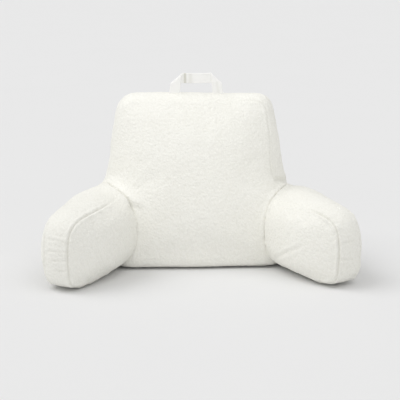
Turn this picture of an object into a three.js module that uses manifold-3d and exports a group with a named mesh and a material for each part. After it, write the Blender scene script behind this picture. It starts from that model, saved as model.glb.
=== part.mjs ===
// Backrest pillow with two arms and a strap handle on top, standing on its base.
// Millimetres, +Z up, +X to the right as seen from the front, -Y towards the sitter.
// The origin is on the ground under the middle of the bounding box.
//
// Every stuffed piece is a boxed cushion: a face panel, a boxing strip round its edge and a
// second panel. Each is built from closed rings: rings of the first panel grow out of its
// crown to the first seam, boxing rings run over to the second seam, and the rings of the
// second panel shrink to its crown. The tables below give the seams.
import * as THREE from "three";
import Module from "manifold-3d";
import { mergeVertices } from "three/addons/utils/BufferGeometryUtils.js";

const wasm = await Module();
wasm.setup();

// ---------------------------------------------------------------- sizes
const PIECE_GAP = 0.5; // left between pieces that are sewn together
const ORIGIN_Y = 16.0; // moves the model back so that the origin is in the middle of its depth

// Back cushion, up its side.
// z: height. front, box, rear: half width at the front seam, at the crown of the boxing strip
// and at the rear seam.
const BACK_SIDE = [
  { z: 0, front: 246, box: 252, rear: 226 },
  { z: 40, front: 250, box: 260, rear: 233 },
  { z: 90, front: 252, box: 262, rear: 236 },
  { z: 140, front: 252, box: 259, rear: 234 },
  { z: 178, front: 247, box: 254, rear: 229 },
  { z: 200, front: 232, box: 249, rear: 225 },
  { z: 222, front: 204, box: 244, rear: 221 },
  { z: 255, front: 195, box: 236, rear: 215 },
  { z: 315, front: 194, box: 227, rear: 209 },
  { z: 360, front: 191, box: 219, rear: 203 },
  { z: 405, front: 187, box: 211, rear: 195 },
  { z: 460, front: 182, box: 201, rear: 187 },
];
// The three rings that the back cushion is drawn over.
// top, foot: height of the upper and lower edge. footY, topY: depth at the ground and the top.
// cornerX, cornerZ: rounding of the upper corners.
const BACK_RING = {
  front: { top: 430, foot: 9, footY: -32, topY: 72, cornerX: 30, cornerZ: 36 },
  box: { top: 448, foot: -12, footY: 112, topY: 112, cornerX: 42, cornerZ: 50 },
  rear: { top: 430, foot: 9, footY: 196, topY: 150, cornerX: 30, cornerZ: 36 },
};
const FOOT_CORNER = 26; // rounding of the lower corners
const FRONT_CROWN = { low: 46, high: 32 }; // how far the front panel stands out of its seam
const REAR_CROWN = { low: 28, high: 28 };
const SWAY = { aside: -6, tip: 3 }; // the top leans to one side, and its far corner hangs lower
const SETBACK = { from: 176, to: 246, by: 36 }; // the wide lower front runs back to the arms

// Arm, seen square to its inner panel. s: along the arm from its root to its front end.
// z: height. swell: how far the boxing strip stands out between its two seams.
const ARM_OUTLINE = [
  { s: -118, z: 16, swell: 0 },
  { s: -60, z: 10, swell: 0 },
  { s: 20, z: 9, swell: 0 },
  { s: 110, z: 9, swell: 0 },
  { s: 190, z: 9, swell: 0 },
  { s: 224, z: 11, swell: 3 },
  { s: 238, z: 26, swell: 6 },
  { s: 243, z: 55, swell: 8 },
  { s: 245, z: 88, swell: 9 },
  { s: 243, z: 120, swell: 10 },
  { s: 236, z: 147, swell: 11 },
  { s: 220, z: 168, swell: 12 },
  { s: 192, z: 181, swell: 13 },
  { s: 150, z: 187, swell: 14 },
  { s: 95, z: 190, swell: 15 },
  { s: 30, z: 190, swell: 16 },
  { s: -50, z: 188, swell: 16 },
  { s: -112, z: 168, swell: 8 },
  { s: -142, z: 96, swell: 3 },
];
// Arm, along its middle line. top: height of the outline. half: half the width between the
// two seams. inner, outer: how far each panel stands out of its seam.
const ARM_ALONG = [
  { s: -160, top: 130, half: 24, inner: 20, outer: 8 },
  { s: -110, top: 176, half: 42, inner: 40, outer: 26 },
  { s: -50, top: 188, half: 54, inner: 50, outer: 42 },
  { s: 0, top: 190, half: 57, inner: 54, outer: 48 },
  { s: 60, top: 190, half: 54, inner: 54, outer: 48 },
  { s: 120, top: 189, half: 50, inner: 50, outer: 51 },
  { s: 180, top: 184, half: 44, inner: 44, outer: 55 },
  { s: 220, top: 170, half: 40, inner: 40, outer: 62 },
  { s: 250, top: 150, half: 38, inner: 40, outer: 66 },
];
const ARM_CROWN = { s: 60, z: 98 }; // the panels are drawn round this point
const ARM_END = 246;
const ARM_ROOT = { x: 264, y: 6 }; // where the arm's middle line leaves the back cushion
const ARM_TURN = { rear: 22, root: 10, end: 36 }; // degrees outwards from straight ahead
const ARM_REAR = 150; // the middle line goes this far back beside the back cushion
// plump: how full the inner panel of each arm is. foot: how much fuller it is near the ground.
const ARMS = {
  arm_left: { side: -1, plump: 1, foot: 0 },
  arm_right: { side: 1, plump: 0.86, foot: 0.8 },
};

// Handle: one flat strap. Its middle runs across the top with its width upright, and each end
// is folded forward over a slanted crease and runs down into the top of the back cushion.
const STRAP = { width: 26, thick: 2.4, z: 481, y: 105, bend: 2.1 };
// x: where the crease crosses the strap's middle line. slope: degrees of the crease from level.
// run: length of strap from that point to the end.
const STRAP_FOLD = {
  left: { x: -49, slope: 41, run: 56 },
  right: { x: 46, slope: 42, run: 56 },
};

// ---------------------------------------------------------------- helpers
const mix = (a, b, t) => a + (b - a) * t;
const clamp = (v, lo, hi) => Math.min(hi, Math.max(lo, v));
const smooth = (t) => {
  const c = clamp(t, 0, 1);
  return c * c * (3 - 2 * c);
};

// Reads a column of a table with a smooth curve through its rows.
function column(table, along, key, value) {
  const last = table.length - 1;
  let i = 0;
  while (i < last - 1 && value > table[i + 1][along]) i++;
  const [p1, p2] = [table[i], table[i + 1]];
  const span = p2[along] - p1[along];
  const t = clamp((value - p1[along]) / span, 0, 1);
  const slope = (a, b) => (b[key] - a[key]) / (b[along] - a[along]);
  const m1 = i === 0 ? slope(p1, p2) : slope(table[i - 1], p2);
  const m2 = i + 1 === last ? slope(p1, p2) : slope(p1, table[i + 2]);
  const t2 = t * t;
  const t3 = t2 * t;
  return (
    (2 * t3 - 3 * t2 + 1) * p1[key] +
    (t3 - 2 * t2 + t) * span * m1 +
    (3 * t2 - 2 * t3) * p2[key] +
    (t3 - t2) * span * m2
  );
}

// A closed mesh over a stack of rings with one point at each end.
function closedOver(firstPole, rings, lastPole) {
  const count = rings[0].length;
  const points = [firstPole, ...rings.flat(), lastPole];
  const end = points.length - 1;
  const index = [];
  const at = (r, k) => 1 + r * count + (k % count);
  for (let k = 0; k < count; k++) index.push(0, at(0, k), at(0, k + 1));
  for (let r = 0; r + 1 < rings.length; r++)
    for (let k = 0; k < count; k++) {
      index.push(at(r, k), at(r + 1, k), at(r + 1, k + 1));
      index.push(at(r, k), at(r + 1, k + 1), at(r, k + 1));
    }
  for (let k = 0; k < count; k++) index.push(end, at(rings.length - 1, k + 1), at(rings.length - 1, k));
  const geometry = new THREE.BufferGeometry();
  geometry.setAttribute("position", new THREE.Float32BufferAttribute(points.flatMap((p) => [p.x, p.y, p.z]), 3));
  geometry.setIndex(index);
  return geometry;
}

// The swell of a stuffed panel across one of its widths: 1 in the middle, 0 at both seams.
const stuffed = (across) => Math.max(0, 1 - Math.abs(across) ** 2.5) ** 0.72;
// The strip between two seams a and c, over its crown b.
const overStrip = (a, b, c, t) =>
  new THREE.Vector3()
    .addScaledVector(a, (1 - t) * (1 - 2 * t))
    .addScaledVector(b, 4 * t * (1 - t))
    .addScaledVector(c, t * (2 * t - 1));
const PANEL_STEPS = [0.035, 0.1, 0.2, 0.34, 0.5, 0.68, 0.85];
const STRIP_STEPS = [0.06, 0.16, 0.3, 0.5, 0.7, 0.84, 0.94];
const grounded = (p) => new THREE.Vector3(p.x, p.y, Math.max(0, p.z));

// ---------------------------------------------------------------- back cushion
function backOutline(name) {
  const ring = BACK_RING[name];
  const width = (z) => column(BACK_SIDE, "z", name, z);
  const half = [];
  const footX = width(0);
  for (let i = 0; i <= 6; i++) half.push([(footX - FOOT_CORNER) * (i / 6), ring.foot]);
  for (let i = 1; i <= 3; i++) {
    const a = (i / 4) * (Math.PI / 2);
    half.push([footX - FOOT_CORNER * (1 - Math.sin(a)), ring.foot + FOOT_CORNER * (1 - Math.cos(a))]);
  }
  const low = ring.foot + FOOT_CORNER;
  const high = ring.top - ring.cornerZ;
  for (let i = 0; i <= 14; i++) half.push([width(mix(low, high, i / 14)), mix(low, high, i / 14)]);
  const wide = width(high);
  for (let i = 1; i <= 5; i++) {
    const a = (i / 5) * (Math.PI / 2);
    half.push([wide - ring.cornerX * (1 - Math.cos(a)), high + ring.cornerZ * Math.sin(a)]);
  }
  for (let i = 1; i <= 6; i++) half.push([(wide - ring.cornerX) * (1 - i / 6), ring.top]);
  const left = half.slice(1, -1).reverse().map(([x, z]) => [-x, z]);
  return [...half, ...left];
}
function backDepth(name, x, z) {
  const ring = BACK_RING[name];
  const lean = mix(ring.footY, ring.topY, clamp(z / ring.top, 0, 1));
  return name === "front" ? lean + SETBACK.by * smooth((Math.abs(x) - SETBACK.from) / (SETBACK.to - SETBACK.from)) : lean;
}
function swayed(p) {
  const up = clamp(p.z / BACK_RING.box.top, 0, 1);
  return new THREE.Vector3(p.x + SWAY.aside * up ** 1.6, p.y, p.z - ((SWAY.tip * p.x) / 190) * up ** 2);
}
function backPanelRing(name, side, crown, t) {
  const ring = BACK_RING[name];
  const middle = (ring.top + ring.foot) / 2;
  const rise = (x, z) =>
    stuffed(x / column(BACK_SIDE, "z", name, z)) * stuffed((z - middle) / (middle - ring.foot));
  return backOutline(name).map(([sx, sz]) => {
    const x = sx * (1 - t);
    const z = mix(sz, middle, t);
    const lift = rise(x, z) - rise(sx, sz) * (1 - t) ** 4;
    return new THREE.Vector3(x, backDepth(name, x, z) + side * mix(crown.low, crown.high, z / ring.top) * lift, z);
  });
}
function backCushion(grow = 0) {
  const seam = (name) => backOutline(name).map(([x, z]) => new THREE.Vector3(x, backDepth(name, x, z), z));
  const [front, box, rear] = ["front", "box", "rear"].map(seam);
  const rings = [
    ...[...PANEL_STEPS].reverse().map((t) => backPanelRing("front", -1, FRONT_CROWN, t)),
    front,
    ...STRIP_STEPS.map((t) => front.map((p, i) => overStrip(p, box[i], rear[i], t))),
    rear,
    ...PANEL_STEPS.map((t) => backPanelRing("rear", 1, REAR_CROWN, t)),
  ].map((ring) => ring.map(grounded).map(swayed));
  const pole = (...panel) => swayed(backPanelRing(...panel, 1)[0]);
  const geometry = closedOver(pole("front", -1, FRONT_CROWN), rings, pole("rear", 1, REAR_CROWN));
  if (!grow) return geometry;
  geometry.computeVertexNormals();
  const p = geometry.getAttribute("position");
  const n = geometry.getAttribute("normal");
  for (let i = 0; i < p.count; i++)
    p.setXYZ(i, p.getX(i) + grow * n.getX(i), p.getY(i) + grow * n.getY(i), p.getZ(i) + grow * n.getZ(i));
  return geometry;
}

// ---------------------------------------------------------------- arms
// The middle line of an arm turns steadily outwards.
function armPlace(side, s, n, z) {
  const turn = (d) =>
    THREE.MathUtils.degToRad(
      d < 0
        ? mix(ARM_TURN.root, ARM_TURN.rear, clamp(-d / ARM_REAR, 0, 1))
        : mix(ARM_TURN.root, ARM_TURN.end, clamp(d / ARM_END, 0, 1)),
    );
  const steps = 24;
  let x = ARM_ROOT.x;
  let y = ARM_ROOT.y;
  for (let i = 0; i < steps; i++) {
    const a = turn((s * (i + 0.5)) / steps);
    x += (Math.sin(a) * s) / steps;
    y -= (Math.cos(a) * s) / steps;
  }
  const a = turn(s);
  return new THREE.Vector3(side * (x - Math.cos(a) * n), y - Math.sin(a) * n, Math.max(0, z));
}
function arm({ side, plump, foot }) {
  const curve = new THREE.CatmullRomCurve3(ARM_OUTLINE.map((r) => new THREE.Vector3(r.s, r.z, 0)), true, "centripetal");
  const count = ARM_OUTLINE.length * 2;
  const line = [];
  for (let i = 0; i < count; i++) {
    const p = curve.getPoint(i / count);
    const d = curve.getTangent(i / count);
    const row = Math.floor(i / 2);
    const next = ARM_OUTLINE[(row + 1) % ARM_OUTLINE.length];
    const swell = i % 2 ? (ARM_OUTLINE[row].swell + next.swell) / 2 : ARM_OUTLINE[row].swell;
    line.push({ s: p.x, z: p.y, outS: d.y, outZ: -d.x, swell });
  }
  const along = (key, s) => column(ARM_ALONG, "s", key, s);
  const rise = (s, z) => {
    const middle = (along("top", s) + 9) / 2;
    const off = (z - middle) / (middle - 9);
    const upright = Math.sqrt(Math.max(0, 1 - off ** 4));
    const up = mix(stuffed(off), upright, off < 0 ? foot : 0);
    const end = stuffed(clamp((s - 40) / (ARM_END - 40), 0, 1));
    return up * end;
  };
  const panel = (sign, key, t) =>
    line.map((p) => {
      const s = mix(p.s, ARM_CROWN.s, t);
      const z = mix(p.z, ARM_CROWN.z, t);
      const lift = rise(s, z) - rise(p.s, p.z) * (1 - t) ** 4;
      const full = key === "inner" ? plump : 1;
      return armPlace(side, s, sign * (along("half", s) + along(key, s) * full * lift), z);
    });
  const strip = (t) =>
    line.map((p) => {
      const over = 4 * t * (1 - t);
      const n = mix(along("half", p.s), -along("half", p.s), t);
      const sink = p.swell < 1 ? 14 * over : 0;
      return armPlace(side, p.s + p.outS * p.swell * over, n, p.z + p.outZ * p.swell * over - sink);
    });
  const rings = [
    ...[...PANEL_STEPS].reverse().map((t) => panel(1, "inner", t)),
    panel(1, "inner", 0),
    ...STRIP_STEPS.map(strip),
    panel(-1, "outer", 0),
    ...PANEL_STEPS.map((t) => panel(-1, "outer", t)),
  ];
  if (side < 0) rings.forEach((ring) => ring.reverse());
  const pole = (sign, key) => panel(sign, key, 1)[0];
  return closedOver(pole(1, "inner"), rings, pole(-1, "outer"));
}

// ---------------------------------------------------------------- handle
// The point and the facing of the strap's rear side at a place on its flat pattern:
// u along the strap from its middle, v up its width.
function strapPoint(u, v) {
  const side = u < 0 ? -1 : 1;
  const fold = u < 0 ? STRAP_FOLD.left : STRAP_FOLD.right;
  const slope = THREE.MathUtils.degToRad(fold.slope);
  const crease = new THREE.Vector3(-side * Math.cos(slope), 0, Math.sin(slope));
  const over = new THREE.Vector3(side * Math.sin(slope), 0, Math.cos(slope));
  const rear = new THREE.Vector3(0, 1, 0);
  const from = new THREE.Vector3(u - fold.x, 0, v);
  const past = from.dot(over);
  const centre = new THREE.Vector3(fold.x, STRAP.y - STRAP.bend, STRAP.z).addScaledVector(crease, from.dot(crease));
  const turn = clamp(past / STRAP.bend, 0, Math.PI);
  const facing = new THREE.Vector3().addScaledVector(over, Math.sin(turn)).addScaledVector(rear, Math.cos(turn));
  const flat = past < 0 ? past : -Math.max(0, past - Math.PI * STRAP.bend);
  return { centre: centre.addScaledVector(facing, STRAP.bend).addScaledVector(over, flat), facing };
}
function handle() {
  // Lines across the strap: u where each crosses the middle line, and its slant.
  const lines = [{ u: 0, slant: 0 }];
  for (const side of [-1, 1]) {
    const fold = side < 0 ? STRAP_FOLD.left : STRAP_FOLD.right;
    const slope = THREE.MathUtils.degToRad(fold.slope);
    const slant = -side / Math.tan(slope);
    const line = (past) => ({ u: fold.x + (side * past) / Math.sin(slope), slant });
    const half = [{ u: fold.x * 0.35, slant: slant * 0.25 }, { u: fold.x * 0.65, slant: slant * 0.7 }, line(-2)];
    for (let i = 0; i <= 7; i++) half.push(line((i / 7) * Math.PI * STRAP.bend));
    half.push(line(Math.PI * STRAP.bend + 2));
    const end = fold.x + side * fold.run;
    for (const t of [0.35, 0.7, 1]) {
      half.push({ u: mix(line(Math.PI * STRAP.bend + 2).u, end, t), slant: t === 1 ? 0 : slant * (1 - t) });
    }
    if (side < 0) lines.unshift(...half.reverse());
    else lines.push(...half);
  }
  const across = [-1, -0.5, 0, 0.5, 1].map((k) => (k * STRAP.width) / 2);
  const points = [];
  for (const offset of [0.5, -0.5])
    for (const { u, slant } of lines)
      for (const v of across) {
        const at = strapPoint(u + slant * v, v);
        points.push(at.centre.addScaledVector(at.facing, offset * STRAP.thick));
      }
  const [rows, cols] = [lines.length, across.length];
  const id = (face, r, c) => (face * rows + r) * cols + c;
  const index = [];
  const quad = (a, b, c, d) => index.push(a, b, c, a, c, d);
  for (let r = 0; r + 1 < rows; r++)
    for (let c = 0; c + 1 < cols; c++) {
      quad(id(0, r, c), id(0, r, c + 1), id(0, r + 1, c + 1), id(0, r + 1, c));
      quad(id(1, r, c), id(1, r + 1, c), id(1, r + 1, c + 1), id(1, r, c + 1));
    }
  for (let r = 0; r + 1 < rows; r++) {
    quad(id(0, r, 0), id(0, r + 1, 0), id(1, r + 1, 0), id(1, r, 0));
    quad(id(0, r, cols - 1), id(1, r, cols - 1), id(1, r + 1, cols - 1), id(0, r + 1, cols - 1));
  }
  for (let c = 0; c + 1 < cols; c++) {
    quad(id(0, 0, c), id(1, 0, c), id(1, 0, c + 1), id(0, 0, c + 1));
    quad(id(0, rows - 1, c), id(0, rows - 1, c + 1), id(1, rows - 1, c + 1), id(1, rows - 1, c));
  }
  const geometry = new THREE.BufferGeometry();
  geometry.setAttribute("position", new THREE.Float32BufferAttribute(points.flatMap((p) => [p.x, p.y, p.z]), 3));
  geometry.setIndex(index);
  return geometry;
}

// ---------------------------------------------------------------- solids
function solid(geometry) {
  const g = geometry.clone();
  for (const name of ["normal", "uv"]) if (g.getAttribute(name)) g.deleteAttribute(name);
  const merged = mergeVertices(g, 1e-4);
  return new wasm.Manifold(
    new wasm.Mesh({
      numProp: 3,
      vertProperties: new Float32Array(merged.getAttribute("position").array),
      triVerts: new Uint32Array(merged.index.array),
    }),
  );
}
function asGeometry(body) {
  const m = body.getMesh();
  const geometry = new THREE.BufferGeometry();
  geometry.setAttribute("position", new THREE.BufferAttribute(new Float32Array(m.vertProperties), 3));
  geometry.setIndex(new THREE.BufferAttribute(new Uint32Array(m.triVerts), 1));
  return geometry;
}

// ---------------------------------------------------------------- the object
const pile = new THREE.MeshStandardMaterial({ color: "#efeee4", roughness: 0.95, metalness: 0 });
const webbing = new THREE.MeshStandardMaterial({ color: "#f3f3ee", roughness: 0.8, metalness: 0 });

const object = new THREE.Group();
object.position.y = ORIGIN_Y;
const add = (name, geometry, material) => {
  const mesh = new THREE.Mesh(geometry, material.clone());
  mesh.name = name;
  object.add(mesh);
};

add("back_cushion", backCushion(), pile);
const room = solid(backCushion(PIECE_GAP));
for (const [name, shape] of Object.entries(ARMS)) add(name, asGeometry(solid(arm(shape)).subtract(room)), pile);

add("carry_handle", asGeometry(solid(handle()).subtract(room)), webbing);

export default object;
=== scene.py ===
import math

import bpy
import numpy as np
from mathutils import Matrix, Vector
from mathutils.bvhtree import BVHTree
from mathutils.kdtree import KDTree


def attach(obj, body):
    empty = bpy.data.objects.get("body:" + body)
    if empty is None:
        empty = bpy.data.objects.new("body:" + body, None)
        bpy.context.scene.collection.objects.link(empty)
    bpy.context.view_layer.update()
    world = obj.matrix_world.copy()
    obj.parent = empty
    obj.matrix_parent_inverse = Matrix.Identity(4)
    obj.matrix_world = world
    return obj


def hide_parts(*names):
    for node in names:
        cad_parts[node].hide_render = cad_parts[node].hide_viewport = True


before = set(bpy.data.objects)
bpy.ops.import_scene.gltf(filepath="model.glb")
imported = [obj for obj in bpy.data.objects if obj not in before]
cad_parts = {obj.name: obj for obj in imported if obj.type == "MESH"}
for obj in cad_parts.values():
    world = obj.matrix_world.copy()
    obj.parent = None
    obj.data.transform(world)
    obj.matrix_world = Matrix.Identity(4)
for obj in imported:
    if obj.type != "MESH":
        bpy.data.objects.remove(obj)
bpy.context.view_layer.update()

# The looks of a backrest pillow: one filled back cushion, two filled arms and a folded strap
# handle, in ivory pile cloth. Metres, in the row frame: +X right, -Y towards the sitter, +Z up.

# ------------------------------------------------------------------ sizes and tables
ORIGIN_Y = 0.016  # the tables below are measured from the front edge of the base

# Back cushion, up its side: half width at the front seam and at the rear seam.
BACK_SIDE = [
    {"z": 0.000, "front": 0.246, "rear": 0.226},
    {"z": 0.040, "front": 0.250, "rear": 0.233},
    {"z": 0.090, "front": 0.252, "rear": 0.236},
    {"z": 0.140, "front": 0.252, "rear": 0.234},
    {"z": 0.178, "front": 0.247, "rear": 0.229},
    {"z": 0.200, "front": 0.232, "rear": 0.225},
    {"z": 0.222, "front": 0.204, "rear": 0.221},
    {"z": 0.255, "front": 0.195, "rear": 0.215},
    {"z": 0.315, "front": 0.194, "rear": 0.209},
    {"z": 0.360, "front": 0.191, "rear": 0.203},
    {"z": 0.405, "front": 0.187, "rear": 0.195},
    {"z": 0.460, "front": 0.182, "rear": 0.187},
]
BACK_SEAM = {
    "front": {"top": 0.430, "foot": 0.009, "foot_y": -0.032, "top_y": 0.072},
    "rear": {"top": 0.430, "foot": 0.009, "foot_y": 0.196, "top_y": 0.150},
}
SWAY = {"aside": -0.006, "tip": 0.003, "height": 0.448}
CORNER = {"x": 0.030, "z": 0.036, "foot": 0.026}
SETBACK = {"from": 0.176, "to": 0.246, "by": 0.036}

# Arm seams, seen square to the inner panel: s along the arm, z up.
ARM_SEAM = [
    {"s": -0.060, "z": 0.010},
    {"s": 0.020, "z": 0.009},
    {"s": 0.110, "z": 0.009},
    {"s": 0.190, "z": 0.009},
    {"s": 0.224, "z": 0.011},
    {"s": 0.238, "z": 0.026},
    {"s": 0.243, "z": 0.055},
    {"s": 0.245, "z": 0.088},
    {"s": 0.243, "z": 0.120},
    {"s": 0.236, "z": 0.147},
    {"s": 0.220, "z": 0.168},
    {"s": 0.192, "z": 0.181},
    {"s": 0.150, "z": 0.187},
    {"s": 0.095, "z": 0.190},
    {"s": 0.030, "z": 0.190},
    {"s": -0.050, "z": 0.188},
    {"s": -0.112, "z": 0.168},
]
ARM_HALF = [
    {"s": -0.160, "half": 0.024},
    {"s": -0.110, "half": 0.042},
    {"s": -0.050, "half": 0.054},
    {"s": 0.000, "half": 0.057},
    {"s": 0.060, "half": 0.054},
    {"s": 0.120, "half": 0.050},
    {"s": 0.180, "half": 0.044},
    {"s": 0.220, "half": 0.040},
    {"s": 0.250, "half": 0.038},
]
ARM_ROOT = {"x": 0.264, "y": 0.006}
ARM_TURN = {"rear": 22, "root": 10, "end": 36}
ARM_REAR = 0.150
ARM_END = 0.246

# Each stuffed piece: the voxel it is remeshed at, how far it is drawn in before it is filled,
# how much bigger its cloth is cut than its shape, the most that a point may move, and how many
# times the move is evened out over the mesh.
STUFFED = {
    "back_cushion": {"voxel": 0.0059, "draw_in": 0.003, "ease": 0.006, "cap": 0.008, "fill": 0.8, "calm": 8},
    "arm_left": {"voxel": 0.0040, "draw_in": 0.003, "ease": 0.008, "cap": 0.008, "fill": 0.85, "calm": 3},
    "arm_right": {"voxel": 0.0040, "draw_in": 0.003, "ease": 0.008, "cap": 0.008, "fill": 0.85, "calm": 3},
}
SIM_FRAMES = 16
# How deep each piece's seams sink, the ridge beside them, and how dark the painted shade at their bottom is.
SEAM = {
    "back_cushion": {"depth": 0.0014, "width": 0.0028, "ridge": 0.0006, "shade": 0.15},
    "arm_left": {"depth": 0.0024, "width": 0.0026, "ridge": 0.0012, "shade": 0.32},
    "arm_right": {"depth": 0.0026, "width": 0.0026, "ridge": 0.0017, "shade": 0.38},
}
RIDGE = {"at": 0.0062, "width": 0.0034}
# Where the pile closes over a seam. along: 0 for x and 1 for y. The seam is whole from "to" on,
# and only "least" of it is left before "from". The rear seam of the back cushion is whole.
SHOWN = {
    "back_cushion": {"along": 0, "from": 0.10, "to": 0.16, "least": 0.10},
    "arm_left": {"along": 1, "from": -0.04, "to": -0.13, "least": 0.20},
    "arm_right": {"along": 1, "from": -0.12, "to": -0.17, "least": 0.10},
}

# Where an arm runs into the back cushion over a soft hollow. from, full: the heights at which
# the hollow starts and is whole. reach: how far it reaches from the line where they meet.
HOLLOW = {
    "arm_left": {"from": 0.160, "full": 0.186, "reach": 0.046},
    "arm_right": {"from": 0.172, "full": 0.200, "reach": 0.020},
}

# Creases in the cloth, each from one point to another on a piece. deep, wide: its depth and
# half width. shade: how much painted shade darkens its bottom.
CREASES = [
    {"on": "back_cushion", "from": (0.262, 0.150, 0.198), "to": (0.229, 0.084, 0.211), "deep": 0.0038, "wide": 0.0085, "shade": 0.2},
    {"on": "back_cushion", "from": (0.236, 0.096, 0.209), "to": (0.200, 0.050, 0.221), "deep": 0.0034, "wide": 0.0070, "shade": 0.25},
    {"on": "back_cushion", "from": (-0.244, 0.070, 0.200), "to": (-0.206, 0.046, 0.214), "deep": 0.0012, "wide": 0.0080, "shade": 0.0},
    {"on": "back_cushion", "from": (0.032, 0.094, 0.438), "to": (0.036, 0.066, 0.396), "deep": 0.0012, "wide": 0.0030, "shade": 0.1},
    {"on": "back_cushion", "from": (-0.060, 0.092, 0.438), "to": (-0.052, 0.070, 0.404), "deep": 0.0009, "wide": 0.0034, "shade": 0.0},
    {"on": "back_cushion", "from": (-0.070, 0.117, 0.449), "to": (-0.038, 0.117, 0.449), "deep": 0.0030, "wide": 0.0050, "shade": 0.25},
    {"on": "back_cushion", "from": (0.035, 0.117, 0.449), "to": (0.067, 0.117, 0.448), "deep": 0.0030, "wide": 0.0050, "shade": 0.25},
    {"on": "arm_right", "from": (0.190, -0.060, 0.040), "to": (0.214, -0.124, 0.071), "deep": 0.0026, "wide": 0.0050, "shade": 0.1},
    {"on": "arm_right", "from": (0.208, -0.112, 0.066), "to": (0.246, -0.164, 0.099), "deep": 0.0020, "wide": 0.0050, "shade": 0.1},
    {"on": "arm_left", "from": (-0.378, -0.190, 0.133), "to": (-0.328, -0.219, 0.130), "deep": 0.0015, "wide": 0.0034, "shade": 0.2},
    {"on": "arm_left", "from": (-0.380, -0.196, 0.104), "to": (-0.322, -0.222, 0.107), "deep": 0.0019, "wide": 0.0034, "shade": 0.25},
    {"on": "arm_left", "from": (-0.376, -0.200, 0.080), "to": (-0.324, -0.222, 0.086), "deep": 0.0015, "wide": 0.0032, "shade": 0.2},
    {"on": "arm_left", "from": (-0.370, -0.204, 0.056), "to": (-0.326, -0.222, 0.060), "deep": 0.0013, "wide": 0.0030, "shade": 0.15},
    {"on": "arm_right", "from": (0.334, -0.220, 0.118), "to": (0.372, -0.200, 0.122), "deep": 0.0014, "wide": 0.0032, "shade": 0.15},
    {"on": "arm_right", "from": (0.332, -0.221, 0.078), "to": (0.368, -0.203, 0.074), "deep": 0.0014, "wide": 0.0032, "shade": 0.15},
]

# The pile's colour on its clumps and between them (painted shade there, and random flatter patches), and the
# painted shade in its seams and creases; the tape's on its ribs and between them, and the painted shade beside a
# fold.
PILE = {"high": (0.925, 0.918, 0.866, 1), "low": (0.800, 0.788, 0.712, 1), "seam": (0.46, 0.45, 0.37, 1)}
TAPE = {"high": (0.965, 0.962, 0.940, 1), "low": (0.925, 0.921, 0.892, 1), "fold": (0.52, 0.51, 0.42, 1)}

# Handle: one flat strap. Its middle runs across the top with its width upright, and each end is
# folded forward over a slanted crease and runs down into the top of the back cushion.
STRAP = {"width": 0.026, "thick": 0.0022, "z": 0.481, "y": 0.105, "bend": 0.0021, "edge": 0.0005}
# x: where the crease crosses the strap's middle line. slope: degrees of the crease from level.
# run: the most that the strap runs on from that point. spread: how much wider it is laid at its
# end. trough: how deep it is hollowed there.
STRAP_FOLD = {
    "left": {"x": -0.049, "slope": 41, "run": 0.052, "spread": 1.22, "trough": 0.0016},
    "right": {"x": 0.046, "slope": 42, "run": 0.052, "spread": 1.24, "trough": 0.0034},
}
# Where shade is painted on the strap beside its left fold. at, wide: along the strap. shade: how much.
FOLD_SHADE = [
    {"at": -0.0313, "wide": 0.0036, "shade": 0.68},
    {"at": -0.0175, "wide": 0.0060, "shade": 0.22},
]
# The painted shade in the trough of the right leg, which starts at "from" along the strap.
TROUGH_SHADE = {"from": 0.060, "wide": 0.0038, "shade": 0.16}


# ------------------------------------------------------------------ helpers
def smooth(t):
    t = np.clip(t, 0, 1)
    return t * t * (3 - 2 * t)


def column(table, along, key, value):
    """Reads a column of a table with a smooth curve through its rows."""
    xs = np.array([r[along] for r in table])
    ys = np.array([r[key] for r in table])
    value = np.clip(np.atleast_1d(np.asarray(value, float)), xs[0], xs[-1])
    i = np.clip(np.searchsorted(xs, value, side="right") - 1, 0, len(xs) - 2)
    span = xs[i + 1] - xs[i]
    t = (value - xs[i]) / span
    m = np.empty(len(xs))
    m[1:-1] = (ys[2:] - ys[:-2]) / (xs[2:] - xs[:-2])
    m[0] = (ys[1] - ys[0]) / (xs[1] - xs[0])
    m[-1] = (ys[-1] - ys[-2]) / (xs[-1] - xs[-2])
    return (
        (2 * t**3 - 3 * t**2 + 1) * ys[i]
        + (t**3 - 2 * t**2 + t) * span * m[i]
        + (3 * t**2 - 2 * t**3) * ys[i + 1]
        + (t**3 - t**2) * span * m[i + 1]
    )


def lattice(ix, iy, iz, seed):
    """A repeatable value from 0 to 1 for each cell of a lattice."""
    h = (
        ix.astype(np.int64) * 374761393
        + iy.astype(np.int64) * 668265263
        + iz.astype(np.int64) * 2147483647
        + seed * 1274126177
    ) & 0xFFFFFFFF
    h = ((h ^ (h >> 13)) * 1274126177) & 0xFFFFFFFF
    h = ((h ^ (h >> 16)) * 2246822519) & 0xFFFFFFFF
    return ((h ^ (h >> 15)) & 0xFFFFFF) / float(0xFFFFFF)


def value_noise(p, size, seed):
    """Smooth noise from -1 to 1 with features about one size across."""
    q = p / size
    f = np.floor(q)
    t = q - f
    t = t * t * t * (t * (6 * t - 15) + 10)
    f = f.astype(np.int64)
    out = np.zeros(len(p))
    for dx in (0, 1):
        for dy in (0, 1):
            for dz in (0, 1):
                w = (
                    (t[:, 0] if dx else 1 - t[:, 0])
                    * (t[:, 1] if dy else 1 - t[:, 1])
                    * (t[:, 2] if dz else 1 - t[:, 2])
                )
                out += w * lattice(f[:, 0] + dx, f[:, 1] + dy, f[:, 2] + dz, seed)
    return out * 2 - 1


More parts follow.
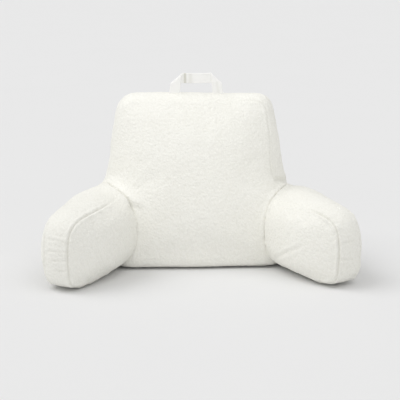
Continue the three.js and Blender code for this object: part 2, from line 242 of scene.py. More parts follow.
def clumps(p, size, seed):
    """Rounded clumps of pile: 1 in the middle of each, falling to 0 between them."""
    q = p / size
    f = np.floor(q).astype(np.int64)
    best = np.full(len(p), 9.0)
    for dx in (-1, 0, 1):
        for dy in (-1, 0, 1):
            for dz in (-1, 0, 1):
                cx, cy, cz = f[:, 0] + dx, f[:, 1] + dy, f[:, 2] + dz
                ox = cx + lattice(cx, cy, cz, seed)
                oy = cy + lattice(cx, cy, cz, seed + 1)
                oz = cz + lattice(cx, cy, cz, seed + 2)
                d = (q[:, 0] - ox) ** 2 + (q[:, 1] - oy) ** 2 + (q[:, 2] - oz) ** 2
                best = np.minimum(best, d)
    return np.clip(1 - best * 1.25, 0, 1)


def points_of(mesh):
    co = np.empty(len(mesh.vertices) * 3)
    mesh.vertices.foreach_get("co", co)
    return co.reshape(-1, 3)


def put_points(mesh, co):
    mesh.vertices.foreach_set("co", np.ascontiguousarray(co, dtype=np.float32).ravel())
    mesh.update()


def normals_of(mesh):
    n = np.empty(len(mesh.vertices) * 3)
    mesh.vertices.foreach_get("normal", n)
    return n.reshape(-1, 3)


def edges_of(mesh):
    e = np.empty(len(mesh.edges) * 2, dtype=np.int32)
    mesh.edges.foreach_get("vertices", e)
    return e.reshape(-1, 2)


def averaged(values, edges, rounds, share=0.5):
    """Values at the vertices, smoothed over the mesh."""
    flat = values.ndim == 1
    v = values[:, None].copy() if flat else values.copy()
    count = np.zeros(len(v))
    np.add.at(count, edges[:, 0], 1)
    np.add.at(count, edges[:, 1], 1)
    count = np.maximum(count, 1)[:, None]
    for _ in range(rounds):
        total = np.zeros_like(v)
        for k in range(v.shape[1]):
            total[:, k] = np.bincount(edges[:, 0], v[edges[:, 1], k], len(v)) + np.bincount(
                edges[:, 1], v[edges[:, 0], k], len(v)
            )
        v += share * (total / count - v)
    return v[:, 0] if flat else v


def applied(obj):
    """Applies the modifiers of an object."""
    mesh = bpy.data.meshes.new_from_object(obj.evaluated_get(bpy.context.evaluated_depsgraph_get()))
    old = obj.data
    obj.modifiers.clear()
    obj.data = mesh
    mesh.name = obj.name
    bpy.data.meshes.remove(old)


def resampled(line, step):
    """Points at an even step along a polyline, with the length run so far at each."""
    line = np.asarray(line, float)
    run = np.concatenate([[0], np.cumsum(np.linalg.norm(np.diff(line, axis=0), axis=1))])
    at = np.arange(0, run[-1], step)
    return np.stack([np.interp(at, run, line[:, k]) for k in range(3)], axis=1), at


# ------------------------------------------------------------------ seams
def back_depth(name, x, z):
    seam = BACK_SEAM[name]
    lean = seam["foot_y"] + (seam["top_y"] - seam["foot_y"]) * np.clip(z / seam["top"], 0, 1)
    if name == "front":
        lean = lean + SETBACK["by"] * smooth((np.abs(x) - SETBACK["from"]) / (SETBACK["to"] - SETBACK["from"]))
    return lean + ORIGIN_Y


def back_seam(name):
    """The seam that closes a panel of the back cushion, once round."""
    seam = BACK_SEAM[name]
    low = seam["foot"] + CORNER["foot"]
    high = seam["top"] - CORNER["z"]
    foot_x = column(BACK_SIDE, "z", name, 0)[0]
    wide = column(BACK_SIDE, "z", name, high)[0]
    turn = np.linspace(0, math.pi / 2, 12)
    xs = [np.linspace(0, foot_x - CORNER["foot"], 30)]
    zs = [np.full(30, seam["foot"])]
    xs.append(foot_x - CORNER["foot"] * (1 - np.sin(turn)))
    zs.append(seam["foot"] + CORNER["foot"] * (1 - np.cos(turn)))
    z = np.linspace(low, high, 80)
    xs.append(column(BACK_SIDE, "z", name, z))
    zs.append(z)
    xs.append(wide - CORNER["x"] * (1 - np.cos(turn)))
    zs.append(high + CORNER["z"] * np.sin(turn))
    xs.append(np.linspace(wide - CORNER["x"], 0, 30))
    zs.append(np.full(30, seam["top"]))
    x, z = np.concatenate(xs), np.concatenate(zs)
    x, z = np.concatenate([x, -x[::-1]]), np.concatenate([z, z[::-1]])
    y = back_depth(name, x, z)
    up = np.clip(z / SWAY["height"], 0, 1)
    return np.stack([x + SWAY["aside"] * up**1.6, y, z - SWAY["tip"] * x / 0.19 * up**2], axis=1)


def arm_place(side, s, n, z):
    """The place at s along an arm's middle line, n towards the sitter from it, and z up."""

    def turn(d):
        share = -d / ARM_REAR if d < 0 else d / ARM_END
        other = ARM_TURN["rear"] if d < 0 else ARM_TURN["end"]
        return math.radians(ARM_TURN["root"] + (other - ARM_TURN["root"]) * min(1.0, share))

    x, y = ARM_ROOT["x"], ARM_ROOT["y"]
    for i in range(24):
        a = turn(s * (i + 0.5) / 24)
        x += math.sin(a) * s / 24
        y -= math.cos(a) * s / 24
    a = turn(s)
    return (side * (x - math.cos(a) * n), y - math.sin(a) * n + ORIGIN_Y, z)


def arm_seam(side, sign):
    """The seam between a panel of the arm and its boxing strip, once over the top and the end."""
    rows = np.array([(r["s"], r["z"]) for r in ARM_SEAM])
    run = np.concatenate([[0], np.cumsum(np.linalg.norm(np.diff(rows, axis=0), axis=1))])
    table = [{"r": r, "s": s, "z": z} for r, (s, z) in zip(run, rows)]
    at = np.linspace(0, run[-1], 260)
    line_s, line_z = column(table, "r", "s", at), column(table, "r", "z", at)
    half = column(ARM_HALF, "s", "half", line_s)
    return np.array([arm_place(side, s, sign * h, z) for s, h, z in zip(line_s, half, line_z)])


SEAMS = {
    "back_cushion": [back_seam("front"), back_seam("rear")],
    "arm_left": [arm_seam(-1, 1), arm_seam(-1, -1)],
    "arm_right": [arm_seam(1, 1), arm_seam(1, -1)],
}


# ------------------------------------------------------------------ stuffed pieces
def tree_of(obj):
    """The surface of a mesh, to look up distances in."""
    corners = np.empty(len(obj.data.loops), dtype=np.int32)
    obj.data.loops.foreach_get("vertex_index", corners)
    faces, at = [], 0
    for p in obj.data.polygons:
        faces.append(corners[at : at + p.loop_total].tolist())
        at += p.loop_total
    return BVHTree.FromPolygons(points_of(obj.data).tolist(), faces)


LOOK = Vector((0.27, -0.53, 0.80)).normalized()


def away(tree, co):
    """For each point its distance from a surface, below 0 inside, and the way out from it."""
    dist, out = np.empty(len(co)), np.empty((len(co), 3))
    for i, q in enumerate(co):
        q = Vector(q)
        p, n, _, d = tree.find_nearest(q)
        v = q - p
        side = 1.0 if v.dot(n) >= 0 else -1.0
        if d > 0.0015 and abs(v.dot(n)) < 0.8 * d:
            # The nearest place is on an edge, so the first face met along a line tells the side.
            hit, facing, _, _ = tree.ray_cast(q, LOOK)
            side = -1.0 if hit is not None and facing.dot(LOOK) > 0 else 1.0
        dist[i] = side * d
        out[i] = n if d < 0.0015 else v * (side / d)
    return dist, out


def near(obj, lines, step=0.003):
    """For each point of a mesh the distance to the nearest of the lines, laid on its surface, and
    the length run along that line."""
    co = points_of(obj.data)
    surface = tree_of(obj)
    tree_points, runs = [], []
    offset = 0.0
    for line in lines:
        p, at = resampled(line, step)
        p = np.array([surface.find_nearest(Vector(q))[0] for q in p])
        tree_points.append(p)
        runs.append(at + offset)
        offset += at[-1] + 1.0
    p, run = np.concatenate(tree_points), np.concatenate(runs)
    tree = KDTree(len(p))
    for i, q in enumerate(p):
        tree.insert(Vector(q), i)
    tree.balance()
    dist, along = np.empty(len(co)), np.empty(len(co))
    for i, q in enumerate(co):
        _, k, d = tree.find(q)
        dist[i], along[i] = d, run[k]
    return dist, along


def neighbours(name):
    return ["arm_left", "arm_right"] if name == "back_cushion" else ["back_cushion"]


def stuffed(name):
    """The solid of a cushion as an even mesh, drawn in a little, ready to be filled."""
    spec = STUFFED[name]
    obj = bpy.data.objects.new(name + "_cover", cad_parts[name].data.copy())
    bpy.context.collection.objects.link(obj)
    obj.data.materials.clear()
    weld = obj.modifiers.new("weld", "WELD")
    weld.merge_threshold = 0.00002
    voxels = obj.modifiers.new("voxels", "REMESH")
    voxels.mode = "VOXEL"
    voxels.voxel_size = spec["voxel"]
    voxels.use_smooth_shade = True
    applied(obj)
    mesh = obj.data
    edges = edges_of(mesh)
    crisp = averaged(points_of(mesh), edges, 2)
    soft = averaged(crisp, edges, 16)
    put_points(mesh, crisp)
    dist, _ = near(obj, SEAMS[name])
    gap = np.full(len(crisp), 1.0)
    for other in neighbours(name):
        gap = np.minimum(gap, away(tree_of(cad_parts[other]), crisp)[0])
    keep = 1 - smooth((dist - 0.004) / 0.016)
    keep = np.maximum(keep, 1 - smooth((gap - 0.002) / 0.006))
    keep = np.maximum(keep, 0.7 * smooth((0.004 - crisp[:, 2]) / 0.003))
    co = soft + (crisp - soft) * keep[:, None]
    put_points(mesh, co)
    n = averaged(normals_of(mesh), edges, 8)
    n /= np.linalg.norm(n, axis=1, keepdims=True) + 1e-9
    grounded = smooth((0.012 - co[:, 2]) / 0.010)
    free = smooth((gap - 0.003) / 0.010)
    co = co - n * (spec["draw_in"] * (1 - 0.85 * grounded) * free)[:, None]
    co[:, 2] = np.maximum(co[:, 2], 0.0004)
    put_points(mesh, co)
    # Points that came to lie on each other on the ground would stop the cloth.
    joined = obj.modifiers.new("joined", "WELD")
    joined.merge_threshold = 0.0008
    applied(obj)
    return obj


def add_cloth(obj, spec, held):
    """Cloth under pressure. held is 1 where the cloth can't move."""
    pin = obj.vertex_groups.new(name="held")
    for i in np.nonzero(held > 0.02)[0]:
        pin.add([int(i)], float(held[i]), "REPLACE")
    cloth = obj.modifiers.new("fill", "CLOTH")
    s = cloth.settings
    s.quality = 4
    s.mass = 0.35
    s.air_damping = 2.0
    s.tension_stiffness = s.compression_stiffness = 22
    s.shear_stiffness = 8
    s.bending_stiffness = 3.0
    s.tension_damping = s.compression_damping = 8
    s.shear_damping = 6
    s.shrink_min = -spec["ease"]
    s.use_pressure = True
    s.uniform_pressure_force = 4.0
    s.vertex_group_mass = "held"
    s.pin_stiffness = 1.0
    s.effector_weights.gravity = 0
    cloth.collision_settings.use_collision = False
    cloth.collision_settings.use_self_collision = False
    cloth.point_cache.frame_start = 1
    cloth.point_cache.frame_end = SIM_FRAMES


def fill_all(objs):
    """Runs the cloth of every cushion at once, and keeps no point further off than its cap."""
    start = {}
    trees = {name: tree_of(obj) for name, obj in objs.items()}
    for name, obj in objs.items():
        co = points_of(obj.data)
        start[name] = co
        dist, _ = near(obj, SEAMS[name])
        held = 1 - smooth((dist - 0.003) / 0.005)
        held = np.maximum(held, smooth((0.006 - co[:, 2]) / 0.003))
        for other in neighbours(name):
            gap = away(trees[other], co)[0]
            held = np.maximum(held, 1 - smooth((gap - 0.006) / 0.006))
        add_cloth(obj, STUFFED[name], held)
    scene = bpy.context.scene
    for frame_number in range(1, SIM_FRAMES + 1):
        scene.frame_set(frame_number)
    deps = bpy.context.evaluated_depsgraph_get()
    moved = {}
    for name, obj in objs.items():
        run = obj.evaluated_get(deps).to_mesh()
        moved[name] = points_of(run)
        obj.evaluated_get(deps).to_mesh_clear()
    scene.frame_set(1)
    for name, obj in objs.items():
        obj.modifiers.clear()
        obj.vertex_groups.clear()
        step = averaged(moved[name] - start[name], edges_of(obj.data), STUFFED[name]["calm"])
        far = np.linalg.norm(step, axis=1)
        cap = STUFFED[name]["cap"]
        step *= (cap * np.tanh(far / cap) / np.maximum(far, 1e-9))[:, None]
        print(name, "moved", round(float(far.mean()) * 1000, 2), "mm mean", round(float(far.max()) * 1000, 2), "mm most")
        put_points(obj.data, start[name] + step)


def subdivided(obj):
    more = obj.modifiers.new("more", "SUBSURF")
    more.levels = more.render_levels = 1
    more.boundary_smooth = "ALL"
    applied(obj)


def hollowed(objs):
    """Rounds the corner where each arm meets the back cushion, over the arm's crown."""
    trees = {name: tree_of(obj) for name, obj in objs.items()}
    for arm, spec in HOLLOW.items():
        for name, other, low, high in ((arm, "back_cushion", 0.20, 0.45), ("back_cushion", arm, 0.45, 0.70)):
            mesh = objs[name].data
            co = points_of(mesh)
            reach = spec["reach"]
            box = points_of(objs[other].data)
            near_other = ((co > box.min(axis=0) - reach) & (co < box.max(axis=0) + reach)).all(axis=1)
            pick = np.nonzero(near_other & (co[:, 2] > spec["from"]))[0]
            zone = smooth((co[pick, 2] - spec["from"]) / (spec["full"] - spec["from"]))
            facing = averaged(normals_of(mesh), edges_of(mesh), 2)[pick]
            p, start = co[pick], co[pick]
            for turn in range(3):
                b, to_b = away(trees[other], p)
                if turn:
                    a, to_a = away(trees[name], p)
                else:
                    a, to_a = np.zeros(len(p)), facing
                share = np.clip(0.5 + 0.5 * (b - a) / reach, 0, 1)
                level = b * (1 - share) + a * share - reach * share * (1 - share)
                way = to_b * (1 - share)[:, None] + to_a * share[:, None]
                size = np.maximum(np.linalg.norm(way, axis=1), 1e-6)
                step = np.clip(-level / size, -0.3 * reach, 0.3 * reach)
                weight = smooth((size - low) / (high - low)) * zone
                p = p + way * (step * weight / size)[:, None]
            far = np.linalg.norm(p - start, axis=1, keepdims=True)
            p = start + (p - start) * np.minimum(1, 0.4 * reach / np.maximum(far, 1e-9))
            co[pick] = p
            # The stretched lip is evened out.
            stretched = np.zeros(len(co))
            stretched[pick] = np.linalg.norm(p - start, axis=1)
            stretched = smooth((averaged(stretched, edges_of(mesh), 3) - 0.0008) / 0.002)
            co += (averaged(co, edges_of(mesh), 6) - co) * stretched[:, None]
            put_points(mesh, co)


def crease(co, row):
    """How far a crease sinks each point, and how much painted shade darkens it there."""
    a, b = np.array(row["from"]), np.array(row["to"])
    along = np.clip((co - a) @ (b - a) / ((b - a) @ (b - a)), 0, 1)
    dist = np.linalg.norm(co - a - along[:, None] * (b - a), axis=1) / row["wide"]
    run = np.sqrt(np.maximum(np.sin(math.pi * np.clip(along * 0.94 + 0.03, 0, 1)), 0))
    sink = row["deep"] * run * (np.exp(-(dist**2)) - 0.35 * np.exp(-(((dist - 2.0) / 0.9) ** 2)))
    return sink, row["shade"] * run * np.exp(-((dist / 0.8) ** 2))


def sewn_and_piled(obj, name):
    """Seams with their puckers and painted shade, creases with their painted shade, the slack of the filling,
    and the clumps of the pile.
    """
    mesh = obj.data
    edges = edges_of(mesh)
    co = points_of(mesh)
    n = averaged(normals_of(mesh), edges, 3)
    n /= np.linalg.norm(n, axis=1, keepdims=True) + 1e-9
    seed = {"back_cushion": 11, "arm_left": 47, "arm_right": 83}[name]
    above = smooth((co[:, 2] - 0.002) / 0.014)
    out = 0.0014 * value_noise(co, 0.120, 5) * above
    out += 0.0005 * value_noise(co, 0.045, 9) * above
    if name == "back_cushion":
        forward = smooth((-n[:, 1] - 0.1) / 0.5)
        out += 0.0060 * np.exp(-(((co[:, 2] - 0.016) / 0.026) ** 2)) * forward * smooth((0.235 - np.abs(co[:, 0])) / 0.05)
        co[:, 2] -= 0.0020 * smooth((co[:, 2] - 0.38) / 0.06)
        # The filling leaves the far upper corner slack.
        slack = np.exp(-(((co[:, 0] + 0.208) / 0.040) ** 2) - ((co[:, 2] - 0.450) / 0.042) ** 2)
        co[:, 0] += 0.005 * slack
        co[:, 2] -= 0.006 * slack
    dist, run = near(obj, SEAMS[name], 0.002)
    line = np.stack([run, np.zeros_like(run), np.zeros_like(run)], axis=1)
    pucker = value_noise(line, 0.012, seed + 9)
    deep = 1 + 0.25 * value_noise(line, 0.030, seed + 13)
    gap = np.full(len(co), 1.0)
    for other in neighbours(name):
        gap = np.minimum(gap, away(tree_of(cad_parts[other]), co)[0])
    part = SHOWN[name]
    whole = smooth((co[:, part["along"]] - part["from"]) / (part["to"] - part["from"]))
    if name == "back_cushion":
        whole = np.maximum(whole, smooth((co[:, 1] - 0.125) / 0.02))
    open_ = smooth((gap - 0.004) / 0.012) * (part["least"] + (1 - part["least"]) * whole)
    seam = SEAM[name]
    out -= seam["depth"] * deep * np.exp(-((dist / seam["width"]) ** 2)) * open_
    ridge = np.exp(-(((dist - RIDGE["at"]) / RIDGE["width"]) ** 2))
    out += seam["ridge"] * (1 + 0.5 * pucker) * ridge * open_
    out += 0.0007 * pucker * np.exp(-((dist / 0.018) ** 2)) * smooth(dist / 0.006) * open_
    # Painted shade at the bottom of each seam and of each crease, kept in the "seam" attribute.
    shade = seam["shade"] * np.exp(-((dist / (seam["width"] * 0.8)) ** 2)) * open_
    for row in CREASES:
        if row["on"] == name:
            sink, dark = crease(co, row)
            out -= sink
            shade = np.maximum(shade, dark)
    pile = clumps(co, 0.0066, 17)
    fine = clumps(co, 0.0042, 23)
    out += (0.0012 * (pile - 0.5) + 0.0005 * (fine - 0.5)) * (0.25 + 0.75 * above)
    co = co + n * out[:, None]
    co[:, 2] = np.maximum(co[:, 2], 0.0003)
    put_points(mesh, co)
    painted_shade_layer = mesh.attributes.new("seam", "FLOAT", "POINT")
    painted_shade_layer.data.foreach_set("value", np.ascontiguousarray(shade, dtype=np.float32))
    for p in mesh.polygons:
        p.use_smooth = True


# ------------------------------------------------------------------ strap
def strap_point(u, v):
    """The middle of the strap and the facing of its rear side, at u along and v up its pattern."""
    side = -1 if u < 0 else 1
    fold = STRAP_FOLD["left" if u < 0 else "right"]
    slope = math.radians(fold["slope"])
    crease_way = np.array([-side * math.cos(slope), 0, math.sin(slope)])
    over = np.array([side * math.sin(slope), 0, math.cos(slope)])
    rear = np.array([0.0, 1.0, 0.0])
    from_fold = np.array([u - fold["x"], 0, v])
    past = from_fold @ over
    beyond = max(0.0, past - math.pi * STRAP["bend"])
    leg = np.clip(beyond / fold["run"], 0, 1)
    place = np.array([fold["x"], STRAP["y"] - STRAP["bend"], STRAP["z"]]) + crease_way * (from_fold @ crease_way)
    turn = min(max(past / STRAP["bend"], 0), math.pi)
    facing = over * math.sin(turn) + rear * math.cos(turn)
    place = place + facing * STRAP["bend"] + over * (past if past < 0 else -beyond)
    if beyond > 0:
        down = np.array([side * math.cos(2 * slope), 0, -math.sin(2 * slope)])
        across = np.array([-down[2], 0, down[0]]) * side
        middle = np.array([fold["x"], 0, STRAP["z"]])
        off = (place - middle) @ across
        ease = smooth(np.array([leg]))[0]
        place = place + across * off * (fold["spread"] - 1) * ease
        hollow = fold["trough"] * ease * (1 - (off / (STRAP["width"] / 2)) ** 2)
        place = place + rear * (hollow - fold["trough"] * ease * 0.4)
    else:
        wave = 0.0012 * math.sin(u * 62 + 0.6) + 0.0007 * math.sin(u * 131 + v * 60)
        free = min(1.0, -past / 0.012)
        place = place + rear * wave * free
        place[2] -= 0.0009 * math.cos(u * 33) * free
    return place, facing


def strap_mesh(cushion):
    """The strap handle, as a closed ribbon with rolled edges that ends in the cushion's cloth."""
    tree = tree_of(cushion)
    across = np.linspace(-1, 1, 25)
    lines = [(u, 0.0) for u in np.linspace(-0.022, 0.020, 30)]
    for side in (-1, 1):
        fold = STRAP_FOLD["left" if side < 0 else "right"]
        slope = math.radians(fold["slope"])
        slant = -side / math.tan(slope)
        at = lambda past: fold["x"] + side * past / math.sin(slope)
        half = []
        inner = lines[0][0] if side < 0 else lines[-1][0]
        for t in np.linspace(0, 1, 18)[1:]:
            half.append((inner + (at(-0.001) - inner) * t, slant * smooth(np.array([t]))[0]))
        for t in np.linspace(0, 1, 14)[1:]:
            half.append((at(-0.001 + t * (math.pi * STRAP["bend"] + 0.002)), slant))
        start = half[-1][0]
        end = fold["x"] + side * fold["run"]
        for t in np.linspace(0, 1, 44)[1:]:
            half.append((start + (end - start) * t, slant * (1 - smooth(np.array([t]))[0])))
        lines = half[::-1] + lines if side < 0 else lines + half
    rows = []
    for u, slant in lines:
        row = []
        for k in across:
            v = k * STRAP["width"] / 2
            place, facing = strap_point(u + slant * v, v)
            place[1] += ORIGIN_Y
            row.append((place, facing, (u + slant * v, v)))
        rows.append(row)
    # The rows deeper in the cushion than its cloth are left off.
    def depth(row):
        return max(away(tree, np.array([c[0]]))[0][0] for c in (row[0], row[12], row[24]))

    first = 0
    while depth(rows[first + 1]) < -0.0012:
        first += 1
    last = len(rows) - 1
    while depth(rows[last - 1]) < -0.0012:
        last -= 1
    rows = rows[first : last + 1]
    verts, uvs, shades = [], [], []
    for face in (0.5, -0.5):
        for row in rows:
            for k, (place, facing, uv) in zip(across, row):
                # Painted shade beside the left fold and in the right leg's trough, kept in the "fold" attribute.
                shade = max(r["shade"] * math.exp(-(((uv[0] - r["at"]) / r["wide"]) ** 2)) for r in FOLD_SHADE)
                if uv[0] > TROUGH_SHADE["from"]:
                    shade += TROUGH_SHADE["shade"] * math.exp(-((uv[1] / TROUGH_SHADE["wide"]) ** 2))
                shades.append(shade)
                rim = np.sqrt(max(0.0, 1 - max(0.0, abs(k) - 0.90) ** 2 / 0.0101))
                thick = STRAP["thick"] * (0.30 + 0.70 * rim)
                thick += 2 * STRAP["edge"] * math.exp(-(((abs(k) - 0.86) / 0.06) ** 2))
                verts.append(place + facing * thick * face)
                uvs.append(uv)
    count, wide = len(rows), len(across)
    where = lambda f, r, c: (f * count + r) * wide + c
    faces = []
    for r in range(count - 1):
        for c in range(wide - 1):
            faces.append((where(0, r, c), where(0, r, c + 1), where(0, r + 1, c + 1), where(0, r + 1, c)))
            faces.append((where(1, r, c), where(1, r + 1, c), where(1, r + 1, c + 1), where(1, r, c + 1)))
        faces.append((where(0, r, 0), where(0, r + 1, 0), where(1, r + 1, 0), where(1, r, 0)))
        c = wide - 1
        faces.append((where(0, r, c), where(1, r, c), where(1, r + 1, c), where(0, r + 1, c)))
    for c in range(wide - 1):
        faces.append((where(0, 0, c), where(1, 0, c), where(1, 0, c + 1), where(0, 0, c + 1)))
        r = count - 1
        faces.append((where(0, r, c), where(0, r, c + 1), where(1, r, c + 1), where(1, r, c)))
    mesh = bpy.data.meshes.new("strap_handle")
    mesh.from_pydata([tuple(v) for v in verts], [], faces)
    layer = mesh.uv_layers.new(name="strap")
    corners = np.empty(len(mesh.loops), dtype=np.int32)
    mesh.loops.foreach_get("vertex_index", corners)
    flat = (np.array(uvs)[corners] + np.array([0.12, 0.02])) * 4.0
    layer.data.foreach_set("uv", np.ascontiguousarray(flat, dtype=np.float32).ravel())
    painted_shade_layer = mesh.attributes.new("fold", "FLOAT", "POINT")
    painted_shade_layer.data.foreach_set("value", np.array(shades, dtype=np.float32))
    for p in mesh.polygons:
        p.use_smooth = True
    length = abs(rows[-1][12][2][0] - rows[0][12][2][0])
    obj = bpy.data.objects.new("strap_handle", mesh)
    bpy.context.collection.objects.link(obj)
    return obj, length


# ------------------------------------------------------------------ materials
def material(name):
    m = bpy.data.materials.new(name)
    m.use_nodes = True
    nt = m.node_tree
    return m, nt, nt.nodes["Principled BSDF"]


def node(nt, kind, **values):
    n = nt.nodes.new(kind)
    for key, value in values.items():
        if key in n.inputs:
            n.inputs[key].default_value = value
        else:
            setattr(n, key, value)
    return n


def pile_cloth():
    """Ivory pile: small round clumps with painted shade between them, curls in them, patches where it lies
    flatter, and painted shade in the seams and creases.
    """
    m, nt, bsdf = material("sherpa_pile")
    link = nt.links.new
    place = node(nt, "ShaderNodeTexCoord")
    clump = node(nt, "ShaderNodeTexVoronoi", feature="SMOOTH_F1", Scale=210.0, Smoothness=0.6)
    curl = node(nt, "ShaderNodeTexNoise", Scale=520.0, Detail=3.0, Roughness=0.6)
    patch = node(nt, "ShaderNodeTexNoise", Scale=9.0, Detail=2.0, Roughness=0.5)
    for t in (clump, curl, patch):
        link(place.outputs["Object"], t.inputs["Vector"])
    # Painted shade between the clumps: the pile is mixed towards its low colour there, and also in patches of
    # random tone.
    depth = node(nt, "ShaderNodeMapRange")
    depth.inputs["From Min"].default_value = 0.20
    depth.inputs["From Max"].default_value = 0.80
    link(clump.outputs["Distance"], depth.inputs["Value"])
    tint = node(nt, "ShaderNodeMix", data_type="RGBA")
    tint.inputs[6].default_value = PILE["high"]
    tint.inputs[7].default_value = PILE["low"]
    clump_shade_and_patch = node(nt, "ShaderNodeMath", operation="MULTIPLY_ADD")
    clump_shade_and_patch.inputs[1].default_value = 0.32
    link(depth.outputs["Result"], clump_shade_and_patch.inputs[0])
    spread = node(nt, "ShaderNodeMapRange")
    spread.inputs["From Min"].default_value = 0.35
    spread.inputs["From Max"].default_value = 0.65
    spread.inputs["To Min"].default_value = 0.0
    spread.inputs["To Max"].default_value = 0.14
    link(patch.outputs["Fac"], spread.inputs["Value"])
    link(spread.outputs["Result"], clump_shade_and_patch.inputs[2])
    link(clump_shade_and_patch.outputs["Value"], tint.inputs[0])
    # Painted shade at the bottom of seams and creases, from the mesh's "seam" attribute, darkens the pile.
    seam = node(nt, "ShaderNodeAttribute", attribute_name="seam")
    seam_shade_share = node(nt, "ShaderNodeMath", operation="MULTIPLY")
    seam_shade_share.inputs[1].default_value = 0.75
    link(seam.outputs["Fac"], seam_shade_share.inputs[0])
    dark = node(nt, "ShaderNodeMix", data_type="RGBA")
    dark.inputs[7].default_value = PILE["seam"]
    link(seam_shade_share.outputs["Value"], dark.inputs[0])
    link(tint.outputs[2], dark.inputs[6])
    link(dark.outputs[2], bsdf.inputs["Base Color"])
    high = node(nt, "ShaderNodeMath", operation="MULTIPLY_ADD")
    high.inputs[1].default_value = -1.0
    link(clump.outputs["Distance"], high.inputs[0])
    fuzz = node(nt, "ShaderNodeMath", operation="MULTIPLY")
    fuzz.inputs[1].default_value = 0.55
    link(curl.outputs["Fac"], fuzz.inputs[0])
    link(fuzz.outputs["Value"], high.inputs[2])
    bump = node(nt, "ShaderNodeBump", Strength=0.5, Distance=0.0018)
    link(high.outputs["Value"], bump.inputs["Height"])
    link(bump.outputs["Normal"], bsdf.inputs["Normal"])
    bsdf.inputs["Roughness"].default_value = 0.95
    bsdf.inputs["Specular IOR Level"].default_value = 0.15
    bsdf.inputs["Sheen Weight"].default_value = 0.25
    bsdf.inputs["Sheen Roughness"].default_value = 0.6
    bsdf.inputs["Sheen Tint"].default_value = (1.0, 0.99, 0.95, 1)
    return m


def strap_webbing():
    """Ivory tape: ribs across it, fine threads along it, plain bound edges, and painted shade beside its left
    fold and in its right leg's trough.
    """
    m, nt, bsdf = material("woven_tape")
    link = nt.links.new
    place = node(nt, "ShaderNodeUVMap", uv_map="strap")
    ribs = node(nt, "ShaderNodeTexWave", wave_type="BANDS", bands_direction="X", Scale=62.0, Distortion=0.35, Detail=1.0)
    threads = node(nt, "ShaderNodeTexWave", wave_type="BANDS", bands_direction="Y", Scale=90.0, Distortion=0.35, Detail=1.0)
    for t in (ribs, threads):
        t.inputs["Detail Scale"].default_value = 3.0
        link(place.outputs["UV"], t.inputs["Vector"])
    worn = node(nt, "ShaderNodeTexNoise", Scale=60.0, Detail=3.0, Roughness=0.6)
    own = node(nt, "ShaderNodeTexCoord")
    link(own.outputs["Object"], worn.inputs["Vector"])
    weave = node(nt, "ShaderNodeMath", operation="MULTIPLY")
    link(ribs.outputs["Fac"], weave.inputs[0])
    link(threads.outputs["Fac"], weave.inputs[1])
    shade = node(nt, "ShaderNodeMath", operation="MULTIPLY_ADD")
    shade.inputs[1].default_value = 0.45
    link(worn.outputs["Fac"], shade.inputs[0])
    link(weave.outputs["Value"], shade.inputs[2])
    tint = node(nt, "ShaderNodeMix", data_type="RGBA")
    tint.inputs[6].default_value = TAPE["low"]
    tint.inputs[7].default_value = TAPE["high"]
    link(shade.outputs["Value"], tint.inputs[0])
    # Painted shade beside the fold and in the trough, from the "fold" attribute, darkens the tape.
    fold = node(nt, "ShaderNodeAttribute", attribute_name="fold")
    dark = node(nt, "ShaderNodeMix", data_type="RGBA")
    dark.inputs[7].default_value = TAPE["fold"]
    link(fold.outputs["Fac"], dark.inputs[0])
    link(tint.outputs[2], dark.inputs[6])
    link(dark.outputs[2], bsdf.inputs["Base Color"])
    bump = node(nt, "ShaderNodeBump", Strength=0.6, Distance=0.0004)
    link(weave.outputs["Value"], bump.inputs["Height"])
    link(bump.outputs["Normal"], bsdf.inputs["Normal"])
    bsdf.inputs["Roughness"].default_value = 0.75
    bsdf.inputs["Specular IOR Level"].default_value = 0.3
    bsdf.inputs["Sheen Weight"].default_value = 0.15
    bsdf.inputs["Sheen Roughness"].default_value = 0.5
    return m


# ------------------------------------------------------------------ build
covers = {name: stuffed(name) for name in STUFFED}
fill_all(covers)
for obj in covers.values():
    subdivided(obj)
hollowed(covers)
sherpa = pile_cloth()
for name, obj in covers.items():
    sewn_and_piled(obj, name)
    obj.data.materials.clear()
    obj.data.materials.append(sherpa)
    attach(obj, "root")
    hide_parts(name)
    print(name, "triangles", sum(len(p.vertices) - 2 for p in obj.data.polygons))

strap, strap_length = strap_mesh(covers["back_cushion"])
strap.data.materials.append(strap_webbing())
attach(strap, "root")
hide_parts("carry_handle")
print("strap", round(strap_length, 4), "triangles", sum(len(p.vertices) - 2 for p in strap.data.polygons))

# ------------------------------------------------------------------ stage, light and camera
def floor():
    """A pale floor, wide enough to run out of sight."""
    ring = [(150.0 * math.cos(t), 150.0 * math.sin(t), 0.0) for t in np.linspace(0, 2 * math.pi, 65)[:-1]]
    mesh = bpy.data.meshes.new("floor")
    mesh.from_pydata(ring, [], [tuple(range(64))])
    obj = bpy.data.objects.new("floor", mesh)
    bpy.context.collection.objects.link(obj)
    m, nt, bsdf = material("floor_paper")
    place = node(nt, "ShaderNodeTexCoord")
    grain = node(nt, "ShaderNodeTexNoise", Scale=2.0, Detail=2.0)
    nt.links.new(place.outputs["Object"], grain.inputs["Vector"])
    tone = node(nt, "ShaderNodeMix", data_type="RGBA")
    tone.inputs[6].default_value = (0.795, 0.795, 0.795, 1)
    tone.inputs[7].default_value = (0.805, 0.805, 0.805, 1)
    nt.links.new(grain.outputs["Fac"], tone.inputs[0])
    nt.links.new(tone.outputs[2], bsdf.inputs["Base Color"])
    bsdf.inputs["Roughness"].default_value = 0.9
    bsdf.inputs["Specular IOR Level"].default_value = 0.1
    mesh.materials.append(m)
    return obj


floor()

# Soft light from all round, and three wide far lights. toward: the way to each light.
SKY = 0.618
LIGHTS = [
    {"name": "key", "toward": (-0.56, 0.03, 0.83), "strength": 1.04, "angle": 45},
    {"name": "fill", "toward": (0.40, -0.30, 0.87), "strength": 0.43, "angle": 45},
    {"name": "low", "toward": (-0.20, -0.95, 0.20), "strength": 0.16, "angle": 45},
]
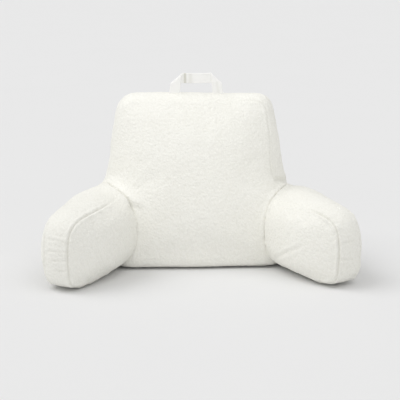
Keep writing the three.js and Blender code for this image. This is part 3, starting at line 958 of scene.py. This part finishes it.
# Three near lamps: for the back cushion and its strap, for the strap alone, for the right arm.
NEAR = [
    {"name": "near", "place": (-0.10, -0.50, 0.75), "aim": (0.0, 0.05, 0.30), "size": 0.5, "power": 0.60},
    {"name": "near_strap", "place": (0.05, -0.50, 0.80), "aim": (0.0, 0.11, 0.47), "size": 0.3, "power": 0.28},
    {"name": "near_arm", "place": (-0.35, -0.75, 0.05), "aim": (0.28, -0.05, 0.07), "size": 0.4, "power": 0.32},
]

world = bpy.data.worlds.new("studio")
bpy.context.scene.world = world
world.use_nodes = True
world.node_tree.nodes["Background"].inputs["Color"].default_value = (1.0, 1.0, 1.0, 1)
world.node_tree.nodes["Background"].inputs["Strength"].default_value = SKY


def lamp(name, kind, place, aim, energy, size, colour=(1, 1, 1)):
    data = bpy.data.lights.new(name, kind)
    data.energy = energy
    data.color = colour
    if kind == "AREA":
        data.shape = "DISK"
        data.size = size
    else:
        data.angle = size
    obj = bpy.data.objects.new(name, data)
    bpy.context.collection.objects.link(obj)
    obj.location = place
    obj.rotation_euler = (Vector(aim) - Vector(place)).to_track_quat("-Z", "Y").to_euler()
    return obj


for row in LIGHTS:
    lamp(row["name"], "SUN", row["toward"], (0, 0, 0), row["strength"], math.radians(row["angle"]))
for row, lit_objects in zip(NEAR, [(covers["back_cushion"], strap), (strap,), (covers["arm_right"],)]):
    near_lamp = lamp(row["name"], "AREA", row["place"], row["aim"], row["power"], row["size"])
    lit = bpy.data.collections.new("lit_by_" + row["name"])
    for obj in lit_objects:
        lit.objects.link(obj)
    near_lamp.light_linking.receiver_collection = lit

CAMERA = {"azimuth": -3.0, "elevation": 13.0, "distance": 3.0, "pixels_per_metre": 386.0}
data = bpy.data.cameras.new("camera")
camera = bpy.data.objects.new("camera", data)
bpy.context.collection.objects.link(camera)
bpy.context.scene.camera = camera
a, e = math.radians(CAMERA["azimuth"]), math.radians(CAMERA["elevation"])
target = Vector((0.0, ORIGIN_Y, 66.5 / (CAMERA["pixels_per_metre"] * math.cos(e))))
back = Vector((math.sin(a) * math.cos(e), -math.cos(a) * math.cos(e), math.sin(e)))
camera.location = target + back * CAMERA["distance"]
camera.rotation_euler = (-back).to_track_quat("-Z", "Y").to_euler()
data.sensor_width = 36.0
data.lens = 36.0 * CAMERA["pixels_per_metre"] * CAMERA["distance"] / 400.0
data.shift_x = 1.0 / 400.0
data.clip_end = 400.0

view = bpy.context.scene.view_settings
view.view_transform = "Standard"
view.look = "None"
view.exposure = 0.0
view.gamma = 1.0
